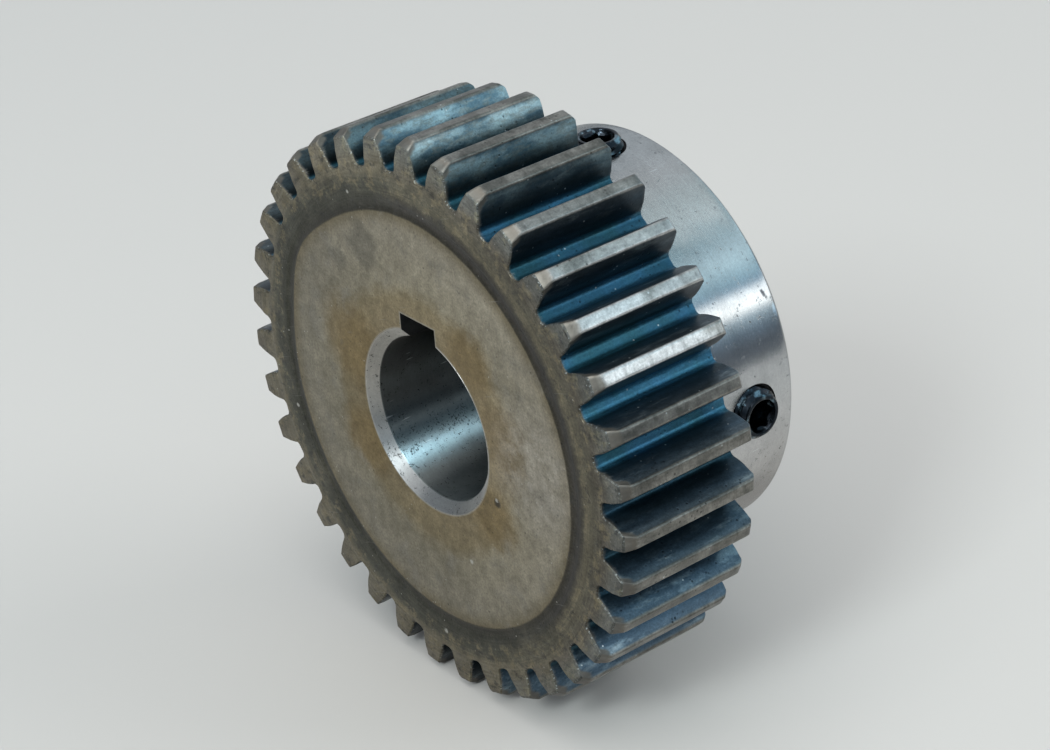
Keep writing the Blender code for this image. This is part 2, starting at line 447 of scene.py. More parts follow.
def screw_shell():
    """A set screw along Z: hexagon socket, bevelled end, thread and cup point."""
    shell = Shell()
    count = 72
    angle = 2 * math.pi * np.arange(count) / count
    hexagon = SOCKET_HALF_WIDTH / np.cos((angle + math.pi / 6) % (math.pi / 3) - math.pi / 6)
    top, low = SCREW_TOP, SCREW_END
    rows = []
    # The socket: its drill point, its floor, its walls, and the bevel at its mouth.
    rows.append((np.full(count, 0.15), top - 3.55))
    rows.append((hexagon * 0.86, top - 3.05))
    rows.append((hexagon * 0.97, top - 2.97))
    rows.append((hexagon, top - 2.9))
    for height in np.linspace(top - 2.5, top - 0.55, 6):
        rows.append((hexagon, height))
    rows.append((np.maximum(hexagon, 1.42), top - 0.42))
    for radius, depth in ((1.51, 0.30), (1.56, 0.15), (1.62, 0.04), (1.70, 0), (1.86, 0), (1.94, 0.02)):
        rows.append((np.full(count, radius), top - depth))
    # The thread, cut back by the bevels at both ends.
    heights = np.arange(top - 0.08, low + 0.4, -THREAD_PITCH / 16)
    for height in heights:
        crest = SCREW_CREST - thread_depth(angle, np.full(count, height), SCREW_THREAD)
        from_top = 1.99 + (top - 0.08 - height) * 0.85
        from_end = 1.35 + (height - low) * 0.95
        rows.append((np.minimum(np.minimum(crest, from_top), from_end), height))
    # The cup point.
    for radius, rise in ((1.32, 0.05), (1.25, 0), (1.18, 0.02), (0.7, 0.27), (0.15, 0.46)):
        rows.append((np.full(count, radius), low + rise))
    rings = []
    for radius, height in rows:
        level = np.full(count, height)
        points = np.stack([radius * np.cos(angle), radius * np.sin(angle), level], axis=1)
        rings.append(shell.ring(points))
    for first, second in zip(rings, rings[1:]):
        shell.join(first, second, 0)
    shell.face(rings[0], 0)
    shell.face(rings[-1][::-1], 0)
    return shell


def make_screw(name, turn, material):
    """A set screw in its hole, turned round the bore's axis from +Z."""
    screw = make_object(name, screw_shell(), [material])
    screw.data.transform(Matrix.Translation((0, HOLE_Y * MM, 0)) @ Matrix.Rotation(turn, 4, "Y"))
    screw.data.set_sharp_from_angle(angle=SHARP_ANGLE)
    return screw


# ---------------------------------------------------------------- materials
class Graph:
    """Makes the nodes of one metal; calls return sockets, and positions are in millimetres."""

    def __init__(self, name):
        self.material = bpy.data.materials.new(name)
        self.material.use_nodes = True
        self.tree = self.material.node_tree
        self.shader = self.tree.nodes["Principled BSDF"]
        self.shader.inputs["Metallic"].default_value = 1
        place = self.add("ShaderNodeTexCoord").outputs["Object"]
        self.place = self.scaled(place, (1000, 1000, 1000))
        split = self.add("ShaderNodeSeparateXYZ")
        self.tree.links.new(self.place, split.inputs[0])
        self.x, self.y, self.z = split.outputs
        self.radius = self.length(self.x, self.z)
        self.angle = self.math("ARCTAN2", self.z, self.x)

    def add(self, kind):
        return self.tree.nodes.new(kind)

    def feed(self, socket, value):
        """Links a socket to an input, or sets the input's own value."""
        if isinstance(value, bpy.types.NodeSocket):
            self.tree.links.new(value, socket)
        elif isinstance(value, tuple) and len(value) == 3 and socket.type == "RGBA":
            socket.default_value = (*value, 1)
        else:
            socket.default_value = value

    def math(self, operation, first, second=0.0, third=0.0):
        node = self.add("ShaderNodeMath")
        node.operation = operation
        for socket, value in zip(node.inputs, (first, second, third)):
            self.feed(socket, value)
        return node.outputs[0]

    def plus(self, first, second):
        return self.math("ADD", first, second)

    def minus(self, first, second):
        return self.math("SUBTRACT", first, second)

    def times(self, first, second):
        return self.math("MULTIPLY", first, second)

    def highest(self, first, second):
        return self.math("MAXIMUM", first, second)

    def line(self, value, slope, start):
        """The value times slope, plus start."""
        return self.math("MULTIPLY_ADD", value, slope, start)

    def length(self, x, z):
        squares = self.plus(self.times(x, x), self.times(z, z))
        return self.math("SQRT", squares)

    def scaled(self, vector, factors):
        node = self.add("ShaderNodeVectorMath")
        node.operation = "MULTIPLY"
        self.feed(node.inputs[0], vector)
        self.feed(node.inputs[1], factors)
        return node.outputs[0]

    def vector(self, x, y, z):
        node = self.add("ShaderNodeCombineXYZ")
        for socket, value in zip(node.inputs, (x, y, z)):
            self.feed(socket, value)
        return node.outputs[0]

    def noise(self, vector, size, detail=3.0, roughness=0.55):
        """Noise from 0 to 1 with lumps about size millimetres wide."""
        node = self.add("ShaderNodeTexNoise")
        self.feed(node.inputs["Vector"], vector)
        node.inputs["Scale"].default_value = 1 / size
        node.inputs["Detail"].default_value = detail
        node.inputs["Roughness"].default_value = roughness
        return node.outputs["Fac"]

    def specks(self, vector, size, low, high):
        """1 in scattered round specks and 0 elsewhere."""
        node = self.add("ShaderNodeTexVoronoi")
        self.feed(node.inputs["Vector"], vector)
        node.inputs["Scale"].default_value = 1 / size
        return self.step(node.outputs["Distance"], high, low)

    def step(self, value, low, high, start=0.0, end=1.0):
        """A smooth change from start at low to end at high."""
        node = self.add("ShaderNodeMapRange")
        node.interpolation_type = "SMOOTHSTEP"
        for socket, item in zip(node.inputs, (value, low, high, start, end)):
            self.feed(socket, item)
        return node.outputs[0]

    def band(self, value, low, high, soft):
        """1 between low and high, fading to 0 over soft on either side."""
        rise = self.step(value, low - soft, low + soft)
        return self.times(rise, self.step(value, high - soft, high + soft, 1.0, 0.0))

    def blob(self, x, z, size, ragged):
        """1 around a point of the front face, fading to 0 size away, with a ragged edge."""
        away = self.length(self.minus(self.x, x), self.minus(self.z, z))
        return self.step(self.plus(away, ragged), size * 0.35, size, 1.0, 0.0)

    def spot(self, point, size, ragged):
        """1 around a point in space, fading to 0 size away, with a ragged edge."""
        node = self.add("ShaderNodeVectorMath")
        node.operation = "DISTANCE"
        self.feed(node.inputs[0], self.place)
        self.feed(node.inputs[1], point)
        away = self.plus(node.outputs["Value"], ragged)
        return self.step(away, size * 0.35, size, 1.0, 0.0)

    def blend(self, factor, first, second, mode="MIX"):
        """The first colour at factor 0 and the second, or their product, at factor 1."""
        node = self.add("ShaderNodeMix")
        node.data_type = "RGBA"
        node.blend_type = mode
        self.feed(node.inputs[0], factor)
        self.feed(node.inputs[6], first)
        self.feed(node.inputs[7], second)
        return node.outputs[2]

    def ramp(self, value, stops):
        """Colours along a value, given as (value, colour) stops."""
        low, high = stops[0][0], stops[-1][0]
        node = self.add("ShaderNodeValToRGB")
        self.feed(node.inputs[0], self.math("DIVIDE", self.minus(value, low), high - low))
        elements = node.color_ramp.elements
        for index, (at, color) in enumerate(stops):
            element = elements[index] if index < 2 else elements.new(1.0)
            element.position = (at - low) / (high - low)
            element.color = (*color, 1)
        return node.outputs[0]

    def shaded(self, color, amount):
        """The colour made lighter or darker by an amount round 1."""
        return self.blend(1.0, color, self.vector(amount, amount, amount), "MULTIPLY")

    def mottled(self, color, *layers):
        """The colour varied lighter and darker by (noise from 0 to 1, amount) layers."""
        for value, amount in layers:
            color = self.shaded(color, self.line(value, 2 * amount, 1 - amount))
        return color

    def finish(self, color, roughness, height, depth):
        """Colour, roughness, and a bump whose full height is depth millimetres."""
        self.feed(self.shader.inputs["Base Color"], color)
        self.feed(self.shader.inputs["Roughness"], roughness)
        bump = self.add("ShaderNodeBump")
        bump.inputs["Distance"].default_value = depth * MM
        self.feed(bump.inputs["Height"], height)
        self.feed(self.shader.inputs["Normal"], bump.outputs[0])
        return self.material


def disc_edge(g):
    """The radius as seen by the front disc's edge, which bulges a little at the upper left."""
    off = g.math("DIVIDE", g.minus(g.angle, BULGE_ANGLE), BULGE_WIDTH)
    bulge = g.math("EXPONENT", g.times(g.times(off, off), -1.0))
    return g.line(bulge, -BULGE, g.radius)


def scratches(g, color, vector, turn, at, strength):
    """Hairline scratches that run one way, lighter than the metal."""
    spin = g.add("ShaderNodeVectorRotate")
    spin.rotation_type = "Y_AXIS"
    g.feed(spin.inputs["Vector"], vector)
    spin.inputs["Angle"].default_value = turn
    streaks = g.noise(g.scaled(spin.outputs[0], (0.10, 1, 4.0)), 0.5, 2)
    return g.blend(g.step(streaks, at, at + 0.05, 0.0, strength), color, (0.33, 0.32, 0.29))


# (x, z, size) of the disc's golden patches round the bore, and of the face's larger bright nicks.
GOLDEN_PATCHES = [
    (-10.4, 4.4, 6.0),
    (10.8, 2.4, 5.2),
    (7.0, 8.6, 4.6),
    (9.2, -6.2, 4.4),
    (-9.6, -5.6, 4.6),
]
FACE_NICKS = [
    (5.2, -12.6, 0.32),
    (0.2, -22.5, 0.34),
    (-21.1, -6.4, 0.30),
    (-8.9, 20.2, 0.24),
    (9.75, -4.15, 0.26),
]


def front_face_material():
    """Turned face: heat-tinted disc, a dark groove, and the brown-grey rim with the teeth's ends."""
    g = Graph("heat_tinted_face")
    flat = g.vector(g.x, 0.0, g.z)
    coarse = g.noise(flat, 6.0, 3)
    medium = g.noise(flat, 1.8, 5, 0.65)
    small = g.noise(flat, 0.75, 4, 0.65)
    fine = g.noise(flat, 0.24, 3, 0.7)
    ragged = g.line(medium, 3.2, -1.6)
    ragged = g.plus(ragged, g.line(coarse, 2.0, -1.0))
    edge = g.plus(disc_edge(g), g.line(medium, 0.30, -0.15))
    disc = g.ramp(g.plus(g.radius, g.times(ragged, 0.8)), [
        (8.5, (0.215, 0.170, 0.100)),
        (12.2, (0.212, 0.172, 0.102)),
        (13.8, (0.232, 0.205, 0.146)),
        (17.6, (0.240, 0.214, 0.160)),
    ])
    # Painted sheen and shade: the disc is lightened and greyed to the right, and darkened below.
    painted_sheen_side = g.line(g.x, 0.026, g.line(g.z, 0.017, 0.5))
    painted_sheen_side = g.plus(painted_sheen_side, g.line(coarse, 0.5, -0.25))
    painted_sheen_tone = g.blend(g.step(painted_sheen_side, 0.15, 0.82), (0.96, 0.98, 1.02), (1.25, 1.27, 1.33))
    disc = g.blend(1.0, disc, painted_sheen_tone, "MULTIPLY")
    golden = 0.0
    for x, z, size in GOLDEN_PATCHES:
        golden = g.highest(golden, g.blob(x, z, size, ragged))
    disc = g.blend(g.times(golden, 0.80), disc, (0.212, 0.156, 0.076))
    rim_edge = g.minus(20.5, g.line(coarse, 1.2, -0.6))
    disc = g.blend(g.step(edge, 18.5, rim_edge, 0.0, 0.85), disc, (0.160, 0.132, 0.080))
    grey = g.step(g.noise(flat, 3.0, 5, 0.65), 0.50, 0.66)
    grey = g.times(grey, g.step(g.radius, 11.5, 14.5))
    disc = g.blend(g.times(grey, 0.55), disc, (0.180, 0.170, 0.146))
    # Painted sheen: a pale patch to the right of the disc.
    pale = g.times(g.blob(15.6, 1.0, 8.5, ragged), g.step(medium, 0.36, 0.60, 0.45, 1.0))
    disc = g.blend(g.times(pale, 0.60), disc, (0.335, 0.312, 0.275))
    stain = g.highest(g.blob(-7.4, 15.2, 3.0, ragged), g.blob(-11.5, 13.2, 1.8, ragged))
    stain = g.highest(stain, g.step(g.noise(flat, 2.2, 5, 0.7), 0.62, 0.70, 0.0, 0.8))
    disc = g.blend(g.times(stain, 0.45), disc, (0.105, 0.102, 0.088))
    # Right and left halves of the rim, from the groove at the disc's edge out to the teeth's tips.
    groove = g.plus(edge, g.line(small, 0.5, -0.25))
    right = g.ramp(groove, [
        (20.1, (0.072, 0.064, 0.048)),
        (20.45, (0.054, 0.049, 0.040)),
        (20.95, (0.060, 0.056, 0.050)),
        (21.35, (0.050, 0.047, 0.043)),
        (21.85, (0.080, 0.073, 0.058)),
        (22.4, (0.150, 0.134, 0.095)),
        (23.4, (0.112, 0.103, 0.078)),
        (24.4, (0.118, 0.107, 0.087)),
        (27.4, (0.140, 0.127, 0.105)),
    ])
    left = g.ramp(groove, [
        (20.1, (0.068, 0.061, 0.045)),
        (20.6, (0.050, 0.048, 0.040)),
        (21.3, (0.066, 0.065, 0.053)),
        (22.9, (0.082, 0.082, 0.066)),
        (23.5, (0.125, 0.116, 0.088)),
        (24.0, (0.172, 0.154, 0.112)),
        (27.4, (0.162, 0.146, 0.116)),
    ])
    lean = g.math("DIVIDE", g.line(g.x, 0.94, g.times(g.z, 0.34)), g.radius)
    lean = g.plus(lean, g.line(coarse, 1.6, -0.8))
    rim = g.blend(g.step(lean, -0.10, 0.70), left, right)
    worn = g.highest(g.blob(-18.4, -12.9, 2.6, ragged), g.blob(13.1, -18.2, 2.4, ragged))
    rim = g.blend(g.times(worn, 0.4), rim, (0.150, 0.140, 0.108))
    ochre = g.step(g.noise(flat, 1.5, 5, 0.7), 0.50, 0.62, 0.0, 0.75)
    rim = g.blend(g.times(ochre, g.step(edge, 21.6, 22.6)), rim, (0.185, 0.158, 0.104))
    soot = g.step(g.noise(g.scaled(flat, (1, 1, 1.3)), 1.1, 5, 0.7), 0.52, 0.64, 0.0, 0.65)
    rim = g.blend(soot, rim, (0.050, 0.050, 0.048))
    # Painted light: the rim is lightened towards the top.
    rim = g.shaded(rim, g.line(g.step(g.z, 19.0, 23.5), 0.35, 1.0))
    color = g.blend(g.step(edge, 20.12, 20.36), disc, rim)
    color = g.mottled(color, (coarse, 0.25), (medium, 0.55), (small, 0.45), (fine, 0.60))
    pits = g.times(g.specks(flat, 0.62, 0.05, 0.26), g.step(small, 0.50, 0.58))
    color = g.shaded(color, g.line(pits, -0.55, 1.0))
    # Turned lines round the rim, hairline scratches, and nicks down to bright metal.
    rings = g.noise(g.vector(g.radius, g.times(g.angle, 0.9), 0.0), 0.20, 2)
    rim_part = g.step(edge, 20.4, 20.8)
    lines = g.times(rim_part, g.minus(rings, 0.5))
    color = g.shaded(color, g.line(lines, 0.8, 1.0))
    color = scratches(g, color, flat, 0.35, 0.69, 0.40)
    color = scratches(g, color, flat, -0.9, 0.71, 0.40)
    color = scratches(g, color, flat, 2.1, 0.72, 0.45)
    nicks = g.times(g.specks(flat, 0.9, 0.03, 0.11), g.step(g.noise(flat, 2.5, 2), 0.50, 0.6))
    for x, z, size in FACE_NICKS:
        nicks = g.highest(nicks, g.blob(x, z, size, g.line(fine, 0.5, -0.25)))
    # A pale burr runs round the bore's bevel and the keyway's mouth, beside a small dent.
    sideways = g.minus(g.math("ABSOLUTE", g.x), KEYWAY_WIDTH / 2)
    outside = g.highest(sideways, g.minus(g.z, KEYWAY_TOP))
    slot_edge = g.times(g.step(outside, 0.05, 0.22, 0.8, 0.0), g.step(g.z, 7.0, 7.5))
    burr = g.highest(g.step(g.radius, 9.06, 9.26, 1.0, 0.0), slot_edge)
    burr = g.times(burr, g.step(small, 0.30, 0.50, 0.45, 0.85))
    color = g.blend(burr, color, (0.36, 0.345, 0.31))
    dent = g.blob(9.85, -4.45, 0.62, g.line(fine, 0.3, -0.15))
    color = g.blend(g.times(dent, 0.85), color, (0.035, 0.032, 0.028))
    color = g.blend(g.times(nicks, 0.75), color, (0.52, 0.51, 0.47))
    # The ends of the teeth are bluer to the right; their rounded edge is darkened as painted shade, and
    # is rough with bright specks.
    bluish = g.times(g.step(g.radius, 24.6, 26.2), g.step(lean, -0.2, 0.5))
    color = g.blend(bluish, color, g.blend(1.0, color, (1.06, 1.18, 1.32), "MULTIPLY"))
    rounded = g.step(g.y, FRONT_Y + 0.005, FRONT_Y + 0.04)
    around = g.times(rounded, g.step(g.radius, 23.9, 24.1))
    color = g.shaded(color, g.line(around, -0.35, 1.0))
    rubbed = g.times(around, g.step(fine, 0.54, 0.66))
    color = g.blend(g.times(rubbed, 0.5), color, (0.42, 0.46, 0.47))
    roughness = g.line(small, 0.26, 0.34)
    roughness = g.line(around, 0.20, roughness)
    height = g.plus(g.times(fine, 0.6), g.times(rings, 0.35))
    height = g.minus(height, g.highest(pits, g.times(dent, 2.0)))
    return g.finish(color, roughness, height, 0.018)


def tooth_material():
    """Blued flanks and roots with painted shade and painted light, lands worn to grey with a painted
    highlight to the right, and the face's brown over the front bevel.
    """
    g = Graph("blued_teeth")
    g.shader.inputs["Metallic"].default_value = 0.88
    along = g.scaled(g.place, (1, 0.22, 1))
    coarse = g.noise(g.place, 5.0, 3)
    medium = g.noise(along, 1.1, 5, 0.65)
    blotch = g.noise(g.scaled(g.place, (1, 0.45, 1)), 1.6, 4, 0.6)
    small = g.noise(g.scaled(g.place, (1, 0.35, 1)), 0.45, 4, 0.65)
    fine = g.noise(g.place, 0.22, 3, 0.7)
    radius = g.plus(g.radius, g.line(medium, 0.5, -0.25))
    root = g.blend(g.step(coarse, 0.35, 0.65), (0.030, 0.110, 0.145), (0.034, 0.118, 0.195))
    # Painted shade: the flanks are darker down towards the roots.
    flank = g.ramp(radius, [
        (24.9, (0.018, 0.038, 0.052)),
        (25.6, (0.022, 0.040, 0.054)),
        (26.6, (0.042, 0.066, 0.088)),
        (27.3, (0.078, 0.098, 0.112)),
    ])
    # Painted shade: the roots are darkened lower down, lightened a little and then darkened again
    # towards the top, and the flanks are darkened towards the top.
    root = g.blend(g.step(g.z, 4.5, 1.7, 0.0, 0.82), root, (0.010, 0.022, 0.030))
    root = g.shaded(root, g.step(g.z, 10.0, 16.0, 1.08, 0.70))
    flank = g.shaded(flank, g.step(g.z, 6.0, 12.0, 1.0, 0.62))
    color = g.blend(g.step(radius, 24.55, 25.1), root, flank)
    # Towards the top the flanks are a mottled teal, lightened there as a painted reflection of the
    # ceiling and darkened towards the roots and to the far left as painted shade; low on the right they
    # are bluer.
    top = g.step(g.line(g.x, -0.75, g.z), 13.0, 23.0)
    body = g.band(g.radius, 24.9, 27.5, 0.3)
    teal = g.blend(g.step(blotch, 0.38, 0.62), (0.085, 0.148, 0.182), (0.260, 0.370, 0.400))
    teal = g.blend(g.step(small, 0.46, 0.60, 0.0, 0.60), teal, (0.130, 0.150, 0.135))
    teal = g.shaded(teal, g.step(radius, 25.1, 26.8, 0.22, 1.15))
    teal = g.shaded(teal, g.step(g.x, -5.0, -11.0, 1.0, 0.18))
    color = g.blend(g.times(g.times(top, body), 0.90), color, teal)
    # Painted shade: the teeth low on the left, where the gear stands on the floor, are darkened.
    low = g.step(g.line(g.x, 0.35, g.times(g.z, -1.0)), 6.0, 24.0)
    left = g.step(g.x, 8.0, 3.0)
    color = g.shaded(color, g.line(g.times(left, low), -0.75, 1.0))
    low = g.times(low, g.minus(1.0, left))
    bluish = g.blend(g.step(blotch, 0.50, 0.68), (0.052, 0.085, 0.118), (0.200, 0.270, 0.310))
    color = g.blend(g.times(g.times(low, body), 0.75), color, bluish)
    scuffed = g.times(g.step(medium, 0.54, 0.70), g.step(g.radius, 25.4, 27.2))
    color = g.blend(g.times(scuffed, 0.35), color, (0.28, 0.32, 0.32))
    # The lands: bright to the right, partly worn to bright steel and partly a painted highlight, and
    # dull and stained round the top left and below.
    land = g.step(g.radius, 27.40, 27.60)
    turn = g.line(coarse, math.radians(10), g.minus(g.angle, math.radians(5)))
    bare_and_painted_highlight = g.times(g.step(turn, *WORN_AND_HIGHLIGHT_FROM), g.step(turn, *WORN_AND_HIGHLIGHT_TO, 1.0, 0.0))
    dull = g.blend(g.step(blotch, 0.38, 0.62), (0.115, 0.112, 0.100), (0.205, 0.196, 0.176))
    bright = g.blend(g.step(coarse, 0.42, 0.64), (0.62, 0.62, 0.61), (0.30, 0.30, 0.285))
    color = g.blend(land, color, g.blend(bare_and_painted_highlight, dull, bright))
    color = g.mottled(color, (coarse, 0.25), (medium, 0.40), (small, 0.42), (fine, 0.55))
    pits = g.times(g.specks(g.place, 0.7, 0.06, 0.22), g.step(coarse, 0.42, 0.58))
    color = g.shaded(color, g.line(pits, -0.7, 1.0))
    glints = g.times(g.specks(g.place, 0.9, 0.03, 0.13), g.step(blotch, 0.46, 0.56))
    color = g.blend(g.times(glints, 0.80), color, (0.60, 0.64, 0.64))
    cross = g.noise(g.scaled(g.place, (0.4, 1.0, 0.4)), 0.75, 4, 0.6)
    cross_on_land = g.times(land, g.step(cross, 0.46, 0.68))
    color = g.shaded(color, g.line(cross_on_land, -0.28, 1.0))
    # The brown of the face runs over its edges and the bevel, and stops at a line rubbed bright.
    depth = g.plus(g.minus(g.y, FRONT_Y), g.line(blotch, 1.0, -0.5))
    reach = g.line(g.step(g.radius, 26.4, 27.2), 0.85, 0.20)
    past = g.minus(depth, reach)
    brown = g.mottled(g.vector(0.138, 0.125, 0.106), (medium, 0.6))
    # Painted shade: the brown is darkened below the top.
    brown = g.shaded(brown, g.step(g.z, 8.0, 16.0, 0.78, 1.0))
    color = g.blend(g.step(past, -0.25, 0.25, 0.90, 0.0), color, brown)
    rubbed = g.times(g.band(past, -0.12, 0.25, 0.15), g.step(small, 0.52, 0.68))
    worn_edge = g.step(g.y, FRONT_Y + 0.04, FRONT_Y + 0.16, 1.0, 0.0)
    worn_edge = g.times(worn_edge, g.step(small, 0.52, 0.66))
    bright_line = g.times(g.highest(rubbed, worn_edge), 0.34)
    color = g.blend(bright_line, color, (0.26, 0.26, 0.24))
    roughness = g.line(small, 0.24, 0.22)
    roughness = g.plus(roughness, g.step(past, 0.3, -0.1, 0.0, 0.16))
    height = g.plus(g.times(fine, 0.6), g.times(cross, 0.3))
    height = g.minus(height, pits)
    return g.finish(color, roughness, height, 0.020)


# (height, colour) stops of the turned steel on the hub, in the bore and on their bevels; their changes
# with height are painted light and shade.
HUB_TINTS_WITH_PAINTED_SHADE = [
    (-12, (0.40, 0.375, 0.35)),
    (-4, (0.53, 0.525, 0.52)),
    (4, (0.485, 0.50, 0.51)),
    (18, (0.455, 0.465, 0.46)),
]
HUB_BEVELS = [(-16, (0.45, 0.45, 0.45)), (16, (0.45, 0.45, 0.45))]
BORE_TINTS_WITH_PAINTED_SHADE = [
    (-8.5, (0.200, 0.215, 0.210)),
    (-5.0, (0.125, 0.155, 0.165)),
    (-1.0, (0.105, 0.112, 0.112)),
    (6.0, (0.092, 0.088, 0.082)),
]
BORE_BEVELS_WITH_PAINTED_LIGHT = [
    (-9, (0.42, 0.43, 0.43)),
    (-5, (0.42, 0.43, 0.43)),
    (1, (0.54, 0.52, 0.485)),
    (9, (0.56, 0.54, 0.50)),
]
# The (angle, width, colour) of the bore's bright stripe, a painted reflection.
BORE_PAINTED_REFLECTION = (-128, 9, (0.34, 0.49, 0.55))
# (point, size, strength, colour) of the hub's single nicks, and where its rust specks gather.
HUB_MARKS = [
    ((17.36, 12.15, 9.94), 0.26, 0.9, (0.05, 0.055, 0.065)),
    ((17.45, 12.20, 9.77), 0.32, 0.9, (0.05, 0.055, 0.065)),
    ((17.55, 12.22, 9.58), 0.28, 0.9, (0.06, 0.065, 0.075)),
    ((17.68, 12.36, 9.35), 0.22, 0.8, (0.08, 0.085, 0.095)),
    ((18.10, 12.95, 8.50), 0.34, 0.6, (0.60, 0.68, 0.74)),
    ((18.24, 12.98, 8.20), 0.50, 0.8, (0.72, 0.80, 0.86)),
    ((18.42, 12.90, 7.80), 0.42, 0.6, (0.60, 0.68, 0.74)),
    ((11.60, 12.10, 16.30), 0.20, 0.5, (0.14, 0.15, 0.16)),
    ((12.70, 11.80, 15.40), 0.17, 0.5, (0.14, 0.15, 0.16)),
    ((12.60, 11.95, 15.52), 0.17, 0.5, (0.14, 0.15, 0.16)),
    ((4.20, 11.70, 19.60), 0.18, 0.6, (0.12, 0.12, 0.13)),
]
RUSTY_PLACE = (18.6, 11.0, -7.4)


def turned_material(name, tints, bevels, shine, marks, grit, roughest):
    """Turned steel whose fine rings round the bore's axis spread reflections along it.

    tints and bevels are (height, colour) stops, whose changes with height are painted light and shade;
    the fourth argument, (angle, width, colour) or None, is a painted reflection: a bright stripe along
    the bore, fading towards the back; marks are (point, size, strength, colour) of single nicks;
    dark grit is rarer when grit is higher, and roughest is about the highest roughness.
    """
    g = Graph(name)
    across = g.scaled(g.place, (0.05, 1, 0.05))
    grooves = g.noise(across, 0.09, 3, 0.7)
    broad = g.noise(across, 0.8, 2)
    cloud = g.noise(g.place, 3.0, 4, 0.6)
    small = g.noise(g.place, 0.7, 4, 0.65)
    fine = g.noise(g.place, 0.20, 3, 0.7)
    level = g.plus(g.z, g.line(cloud, 3.0, -1.5))
    # Painted light and shade: the colour changes with height.
    color = g.ramp(level, tints)
    flecks = 0.0
    # A painted reflection: a bright stripe along the bore at one angle, fading towards the back.
    if shine:
        angle, width, bright = shine
        off = g.minus(g.angle, math.radians(angle) + 0.12)
        off = g.line(cloud, 0.24, off)
        off = g.math("DIVIDE", off, math.radians(width))
        stripe = g.math("EXPONENT", g.times(g.times(off, off), -1.0))
        fading = g.step(g.y, FRONT_Y, FRONT_Y + 15.0, 1.0, 0.15)
        color = g.blend(g.times(stripe, fading), color, bright)
        flecks = g.times(g.band(off, -1.9, -0.2, 0.5), 0.10)
    color = g.shaded(color, g.step(cloud, 0.35, 0.7, 1.0, 0.86))
    on_bevel = g.band(g.radius, 8.06, 9.2, 0.03)
    color = g.blend(on_bevel, color, g.ramp(level, bevels))
    # Outside the hub, on the rim's back, the teeth's heat tint fades in.
    warmth = g.plus(g.radius, g.line(cloud, 2.4, -1.2))
    color = g.blend(g.step(warmth, 20.8, 22.6, 0.0, 0.75), color, (0.205, 0.172, 0.118))
    color = g.blend(g.step(warmth, 22.4, 23.9, 0.0, 0.85), color, (0.115, 0.106, 0.086))
    color = g.mottled(color, (grooves, 0.14), (broad, 0.10), (fine, 0.26))
    spots = g.step(g.plus(small, flecks), grit, grit + 0.10)
    spots = g.times(g.step(fine, 0.54, 0.60), spots)
    color = g.shaded(color, g.line(spots, -0.80, 1.0))
    streaks = g.noise(g.scaled(g.place, (1.0, 0.10, 1.0)), 0.35, 2)
    color = g.blend(g.step(streaks, 0.70, 0.76, 0.0, 0.35), color, (0.80, 0.82, 0.84))
    gouges = g.noise(g.scaled(g.place, (0.22, 1.6, 0.22)), 0.40, 1)
    gouges = g.times(gouges, g.step(small, 0.46, 0.62))
    color = g.blend(g.step(gouges, 0.66, 0.72, 0.0, 0.60), color, (0.10, 0.11, 0.12))
    for point, size, strength, mark in marks:
        shape = g.spot(point, size, g.line(small, 1.2 * size, -0.6 * size))
        color = g.blend(g.times(shape, strength), color, mark)
    rusty = g.times(g.specks(g.place, 0.55, 0.08, 0.26), g.step(small, 0.46, 0.56))
    rusty = g.times(rusty, g.spot(RUSTY_PLACE, 5.0, 0.0))
    color = g.blend(g.times(rusty, 0.75), color, (0.115, 0.085, 0.062))
    # Painted shade: the bevel at the hub's end is darkened.
    rear_bevel_painted_shade = g.step(g.y, HUB_END_Y - 0.55, HUB_END_Y - 0.45)
    rear_bevel_painted_shade = g.times(g.band(g.radius, 19.50, 19.97, 0.04), rear_bevel_painted_shade)
    color = g.shaded(color, g.line(rear_bevel_painted_shade, -0.45, 1.0))
    roughness = g.line(cloud, 0.14, roughest - 0.12)
    roughness = g.line(on_bevel, 0.16, roughness)
    height = g.minus(g.times(grooves, 0.6), spots)
    tangent = g.add("ShaderNodeTangent")
    tangent.direction_type = "RADIAL"
    tangent.axis = "Y"
    g.tree.links.new(tangent.outputs[0], g.shader.inputs["Tangent"])
    g.shader.inputs["Anisotropic"].default_value = 1.0
    g.shader.inputs["Anisotropic Rotation"].default_value = 0.25
    return g.finish(color, roughness, height, 0.008)


def cut_material():
    """Milled and tapped surfaces, dark grey."""
    g = Graph("milled_slot")
    medium = g.noise(g.scaled(g.place, (1, 0.3, 1)), 0.8, 4)
    fine = g.noise(g.place, 0.2, 3)
    color = g.blend(medium, (0.030, 0.030, 0.030), (0.085, 0.085, 0.085))
    color = g.mottled(color, (fine, 0.3))
    return g.finish(color, g.line(medium, 0.25, 0.38), fine, 0.012)


def black_oxide_material():
    """Oiled black oxide, with lighter blue patches painted in as glints."""
    g = Graph("black_oxide_finish")
    medium = g.noise(g.place, 1.1, 4)
    fine = g.noise(g.place, 0.15, 3, 0.7)
    color = g.blend(g.step(medium, 0.54, 0.68), (0.017, 0.021, 0.026), (0.135, 0.195, 0.230))
    color = g.mottled(color, (fine, 0.35))
    return g.finish(color, g.line(fine, 0.20, 0.12), medium, 0.020)


# ---------------------------------------------------------------- camera, floor and lights
# The camera's azimuth, elevation and roll in degrees, its lens in millimetres, and how far right,
# up and back it stands from the front face's centre, in root radii.
CAMERA_ANGLES = (52.54, 28.42, -4.17)
CAMERA_LENS = 99.04
CAMERA_PLACE = (0.368, 0.176, 10.733)


